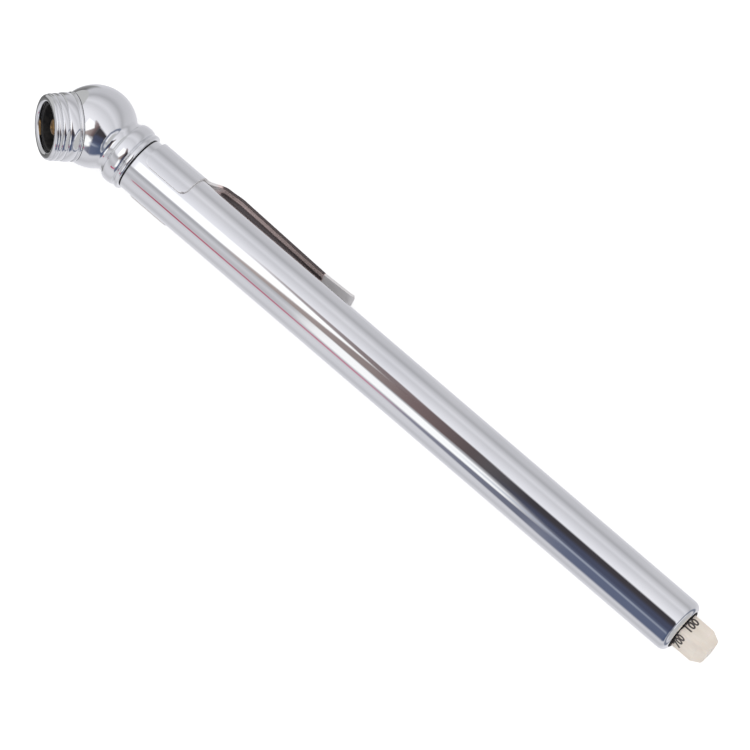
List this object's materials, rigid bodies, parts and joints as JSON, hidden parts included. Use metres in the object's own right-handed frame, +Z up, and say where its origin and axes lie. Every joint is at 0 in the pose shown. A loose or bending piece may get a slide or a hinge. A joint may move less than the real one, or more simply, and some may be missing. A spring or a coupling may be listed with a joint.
{
  "type": "tire pressure gauge",
  "caption": "Pencil tire pressure gauge with a chromed tube, an angled ball head with a ribbed mouth, a pocket clip and a sliding square indicator bar.",
  "frame": {"origin": "centre of the bounding box's base, on the surface the gauge lies on", "axes": "+X along the tube from the ball head to the indicator bar, which dips by one degree; +Y towards the pocket clip's side; +Z up"},
  "size_m": [0.1512, 0.0174, 0.0169],
  "materials": {
    "chrome_plate": "polished",
    "black_rubber": "matte",
    "brass": "satin",
    "spring_steel": "satin",
    "red_plastic": "satin",
    "black_plastic": "satin",
    "off_white_plastic": "satin"
  },
  "bodies": {
    "case": {"head_body": "chrome_plate", "chuck_collar": "chrome_plate", "valve_seal": "black_rubber", "seal_backing_washer": "spring_steel", "pin_carrier": "brass", "deflator_pin": "brass", "head_gasket": "black_rubber", "head_o_ring": "black_rubber", "body_tube": "chrome_plate", "clip_band": "chrome_plate", "end_bushing": "black_plastic", "friction_spring": "spring_steel", "spring_stop_washer": "spring_steel", "main_spring": "spring_steel"},
    "piston": {"piston_body": "red_plastic", "piston_cup": "black_rubber", "cup_retainer": "brass", "piston_screw": "brass", "spring_seat_washer": "spring_steel"},
    "bar": {"indicator_bar": "off_white_plastic"},
    "clip": {"clip_arm": "chrome_plate"}
  },
  "joints": [
    {"name": "bar_slide", "type": "slide", "parent": "case", "child": "bar", "axis": [0.9999, 0, -0.0172], "range_m": [0, 0.05]},
    {"name": "piston_slide", "type": "slide", "parent": "case", "child": "piston", "axis": [0.9999, 0, -0.0172], "range_m": [0, 0.05], "stiffness_N_per_m": 450, "springref_m": -0.002, "deforming": ["main_spring"]},
    {"name": "clip_flex", "type": "hinge", "parent": "case", "child": "clip", "pos_m": [-0.04463, 0.00577, 0.00349], "axis": [0.0134, 0.6249, 0.7806], "range_deg": [-1.2, 5], "stiffness_Nm_per_rad": 1}
  ],
  "couplings": [
    {"joint": "piston_slide", "follows": "bar_slide", "ratio": 1}
  ]
}
